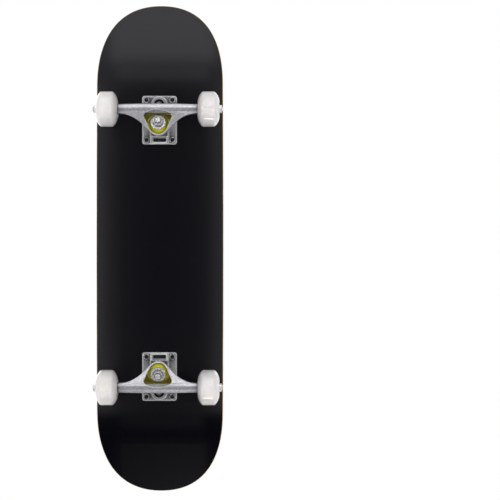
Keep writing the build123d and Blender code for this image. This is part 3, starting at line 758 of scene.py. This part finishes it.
def make_floor():
    """A pale one-sided floor just under the wheels."""
    shape = bmesh.new()
    bmesh.ops.create_grid(shape, x_segments=1, y_segments=1, size=FLOOR_SIZE)
    bmesh.ops.translate(shape, verts=shape.verts, vec=(0, 0, -FLOOR_DROP))
    mesh = bpy.data.meshes.new("floor")
    shape.to_mesh(mesh)
    shape.free()
    floor = bpy.data.objects.new("floor", mesh)
    bpy.context.collection.objects.link(floor)
    # To the eye: matt emulsion, pale and without gloss, so that it shows only the shadow
    material, tree, shader = new_material("pale_floor_paint")
    shader.inputs["Base Color"].default_value = linear("EDEDEE")
    shader.inputs["Roughness"].default_value = 0.9
    shader.inputs["Specular IOR Level"].default_value = 0.0
    behind = put(tree, "ShaderNodeNewGeometry").outputs["Backfacing"]
    shadow = put(tree, "ShaderNodeLightPath").outputs["Is Shadow Ray"]
    unseen = put(tree, "ShaderNodeMath", {0: behind, 1: shadow}, operation="MAXIMUM")
    clear = put(tree, "ShaderNodeBsdfTransparent")
    surface = put(
        tree,
        "ShaderNodeMixShader",
        {0: unseen.outputs[0], 1: shader.outputs[0], 2: clear.outputs[0]},
    )
    output = next(n for n in tree.nodes if n.type == "OUTPUT_MATERIAL")
    tree.links.new(surface.outputs[0], output.inputs["Surface"])
    mesh.materials.append(material)


def make_world():
    """White to the eye and to mirrors, a softer grey as a light."""
    world = bpy.data.worlds.new("studio")
    world.use_nodes = True
    tree = world.node_tree
    tree.nodes.clear()
    path = put(tree, "ShaderNodeLightPath")
    seen = put(
        tree,
        "ShaderNodeMath",
        {0: path.outputs["Is Camera Ray"], 1: path.outputs["Is Glossy Ray"]},
        operation="MAXIMUM",
    )
    white = put(
        tree,
        "ShaderNodeMath",
        {0: seen.outputs[0], 1: path.outputs["Is Transmission Ray"]},
        operation="MAXIMUM",
    )
    strength = put(
        tree,
        "ShaderNodeMapRange",
        {"Value": white.outputs[0], "To Min": WORLD_AS_LIGHT, "To Max": WORLD_AS_SEEN},
    )
    sky = put(
        tree,
        "ShaderNodeBackground",
        {"Color": linear("FFFFFF"), "Strength": strength.outputs[0]},
    )
    put(tree, "ShaderNodeOutputWorld", {"Surface": sky.outputs[0]})
    bpy.context.scene.world = world


def make_tail_flag():
    """A black card behind the tail, lying and then standing, that only mirrors see."""
    shape = bmesh.new()
    front = [shape.verts.new((FLAG_FRONT, y, FLAG_LIFT)) for y in (-FLAG_REACH, FLAG_REACH)]
    edge = shape.edges.new(front)
    lying = bmesh.ops.extrude_edge_only(shape, edges=[edge])["geom"]
    back = [v for v in lying if isinstance(v, bmesh.types.BMVert)]
    bmesh.ops.translate(shape, verts=back, vec=(-FLAG_LENGTH, 0, 0))
    fold = [e for e in lying if isinstance(e, bmesh.types.BMEdge) and set(e.verts) == set(back)]
    standing = bmesh.ops.extrude_edge_only(shape, edges=fold)["geom"]
    top = [v for v in standing if isinstance(v, bmesh.types.BMVert)]
    bmesh.ops.translate(shape, verts=top, vec=(0, 0, FLAG_HEIGHT))
    mesh = bpy.data.meshes.new("tail_flag")
    shape.to_mesh(mesh)
    shape.free()
    flag = bpy.data.objects.new("tail_flag", mesh)
    bpy.context.collection.objects.link(flag)
    # To the eye: matt black card, which gives a mirror nothing to show
    material, _, shader = new_material("black_flag_card")
    shader.inputs["Base Color"].default_value = linear("0A0A0A")
    shader.inputs["Roughness"].default_value = 1.0
    mesh.materials.append(material)
    flag.visible_camera = False
    flag.visible_diffuse = False
    flag.visible_shadow = False


make_floor()
make_tail_flag()
make_world()
print("floor, flag and world ready")

# %% [markdown]
# ## The lamps
# One strong lamp would burn the white wheels out before it showed the black lacquer. A studio
# lights form and gloss apart, and so does this: two wide fills, above and below, give the
# plain level at which a colour looks as it is written, and the rest are cards and strips
# that only mirrors see. They put the grey on the nose, the pale lines along the deck's sides,
# the shine on the castings and the short bright line on the wheels.

# %% Lamps
def add_softbox(name, place, target, size, watts, fills=False, mirrored=True):
    """A soft lamp, width by height, that faces a point."""
    lamp = bpy.data.lights.new(name, "AREA")
    lamp.shape = "RECTANGLE"
    lamp.size, lamp.size_y = size
    lamp.energy = watts
    # The floor stands between the board and the lamps below it, so their gloss is taken
    # from the lamps themselves and not from mirrored rays that would meet the floor
    lamp.cycles.use_multiple_importance_sampling = place[2] > 0
    box = bpy.data.objects.new(name, lamp)
    aim = Vector(target) - Vector(place)
    turn = aim.to_track_quat("-Z", "Y").to_matrix().to_4x4()
    box.matrix_world = Matrix.Translation(place) @ turn
    box.visible_diffuse = fills
    box.visible_glossy = mirrored
    bpy.context.collection.objects.link(box)
    print(name, "at", place, watts, "W")


# Name, place, target, width and height in metres, and watts
add_softbox("top_fill", (0.8, -0.5, 3.2), (0, 0, 0), (3.0, 3.0), 24.0, fills=True)
add_softbox(
    "under_fill", (0.0, 0.0, -2.0), (0, 0, 0), (4.5, 4.5), 56.0, fills=True, mirrored=False
)
add_softbox("nose_softbox", (2.0, 0.0, -1.0), (0.2, 0, 0.05), (1.6, 1.2), 7.6)
add_softbox("nose_card", (1.15, 0.0, -1.6), (0.2, 0, 0.05), (0.8, 0.4), 1.1)
add_softbox("tail_card", (-1.1, 0.0, -1.6), (-0.2, 0, 0.05), (0.4, 0.25), 0.24)
add_softbox("left_card", (0.0, 1.3, -1.6), (0, 0, 0.05), (2.0, 1.3), 0.7)
add_softbox("right_card", (0.0, -1.3, -1.6), (0, 0, 0.05), (2.0, 1.3), 0.5)
add_softbox("left_strip", (0.0, 1.6, -1.4), (0, 0, 0.08), (1.4, 0.35), 4.6)
add_softbox("right_strip", (0.0, -1.6, -1.4), (0, 0, 0.08), (1.4, 0.35), 3.8)
add_softbox("wheel_strip", (-2.6, 0.04, -0.95), (0, 0.05, 0.03), (0.24, 0.4), 2.9)

# %% [markdown]
# ## Camera
# The picture looks straight up at the underside with the nose at the top. The board stands
# left of the middle, so the camera is moved sideways instead of turned, which keeps the board
# square to it. Its distance sets how much larger the wheels look than the deck behind them.

# %% Camera below the board
CAMERA_DROP = 2400.0 * MM
CAMERA_SIDE = 144.0 * MM
CAMERA_BACK = -2.6 * MM
# The lens and the sensor are in millimetres, as Blender asks for them
CAMERA_LENS = 112.0
CAMERA_SENSOR = 36.0
camera = bpy.data.cameras.new("camera")
camera.lens = CAMERA_LENS
camera.sensor_width = CAMERA_SENSOR
eye = bpy.data.objects.new("camera", camera)
eye.matrix_world = Matrix((
    (0, 1, 0, CAMERA_BACK),
    (1, 0, 0, CAMERA_SIDE),
    (0, 0, -1, -CAMERA_DROP),
    (0, 0, 0, 1),
))
bpy.context.collection.objects.link(eye)
bpy.context.scene.camera = eye
bpy.context.scene.view_settings.view_transform = "Standard"
print("camera looks up from", list(eye.location))
